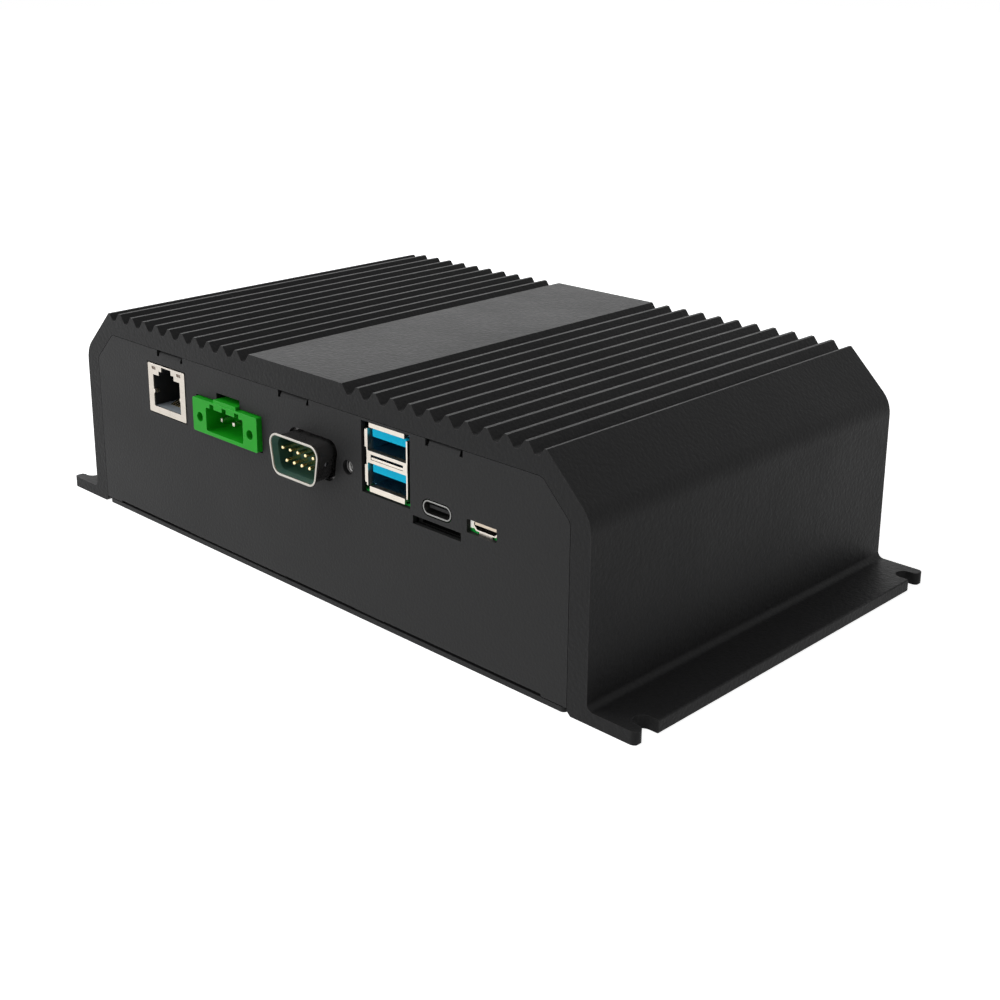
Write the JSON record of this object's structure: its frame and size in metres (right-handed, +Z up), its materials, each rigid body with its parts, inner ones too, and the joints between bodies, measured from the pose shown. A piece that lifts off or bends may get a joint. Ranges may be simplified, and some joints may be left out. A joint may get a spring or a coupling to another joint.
{
  "type": "fanless industrial pc",
  "caption": "Fanless industrial computer: finned aluminium cover with slotted mounting flanges, sheet metal end panels, bottom plate and a row of data and power ports on the front.",
  "frame": {"origin": "under the middle of the case, on the plane that the mounting flanges rest on", "axes": "+X to the right along the connector side, +Y from the connector side to the back, +Z up"},
  "size_m": [0.206, 0.1168, 0.0557],
  "materials": {
    "cover_coat": "fine textured charcoal powder coat",
    "panel_coat": "fine textured charcoal powder coat",
    "dark_steel": "blackened screws",
    "plated_steel": "tin or nickel plated sheet",
    "plated_screw": "zinc plated",
    "board_green": "green solder mask over glass fibre",
    "brass": "turned brass, nickel flash",
    "gold_contact": "gold plated contacts",
    "black_plastic": "moulded black plastic",
    "header_green": "moulded bright green plastic",
    "insulator_teal": "moulded dark teal plastic",
    "port_blue": "moulded blue plastic",
    "clear_light": "clear or diffused light window",
    "chip_black": "moulded chip packages",
    "processor_metal": "nickel plated lid on its carrier",
    "heat_aluminium": "milled aluminium",
    "pad_grey": "soft thermal pad",
    "cell_steel": "coin cell can",
    "capacitor_can": "aluminium can",
    "ferrite": "pressed ferrite"
  },
  "bodies": {
    "root": {"heatsink_cover": "cover_coat", "front_panel": "panel_coat", "rear_panel": "panel_coat", "bottom_cover": "panel_coat", "bottom_cover_screws": "dark_steel", "panel_tab_screws": "plated_screw", "main_board": "board_green", "board_standoffs": "brass", "board_screws": "plated_screw", "compute_module": "board_green", "module_spacers": "brass", "module_screws": "plated_screw", "module_connectors": "black_plastic", "processor": "processor_metal", "module_chips": "chip_black", "thermal_pad": "pad_grey", "heat_block": "heat_aluminium", "heat_block_screws": "plated_screw", "ethernet_shield": "plated_steel", "ethernet_insert": "black_plastic", "ethernet_contacts": "gold_contact", "ethernet_lights": "clear_light", "terminal_header": "header_green", "terminal_pins": "plated_steel", "terminal_nuts": "brass", "serial_shell": "plated_steel", "serial_insulator": "insulator_teal", "serial_pins": "gold_contact", "serial_jackscrews": "plated_steel", "usb_shield": "plated_steel", "usb_inserts": "port_blue", "usb_contacts": "gold_contact", "oval_shell": "plated_steel", "oval_tongue": "black_plastic", "card_socket": "black_plastic", "service_shell": "plated_steel", "service_tongue": "black_plastic", "status_light": "clear_light", "coin_cell": "cell_steel", "coin_cell_holder": "black_plastic", "power_inductor": "ferrite", "capacitors": "capacitor_can", "board_chips": "chip_black"}
  },
  "joints": []
}
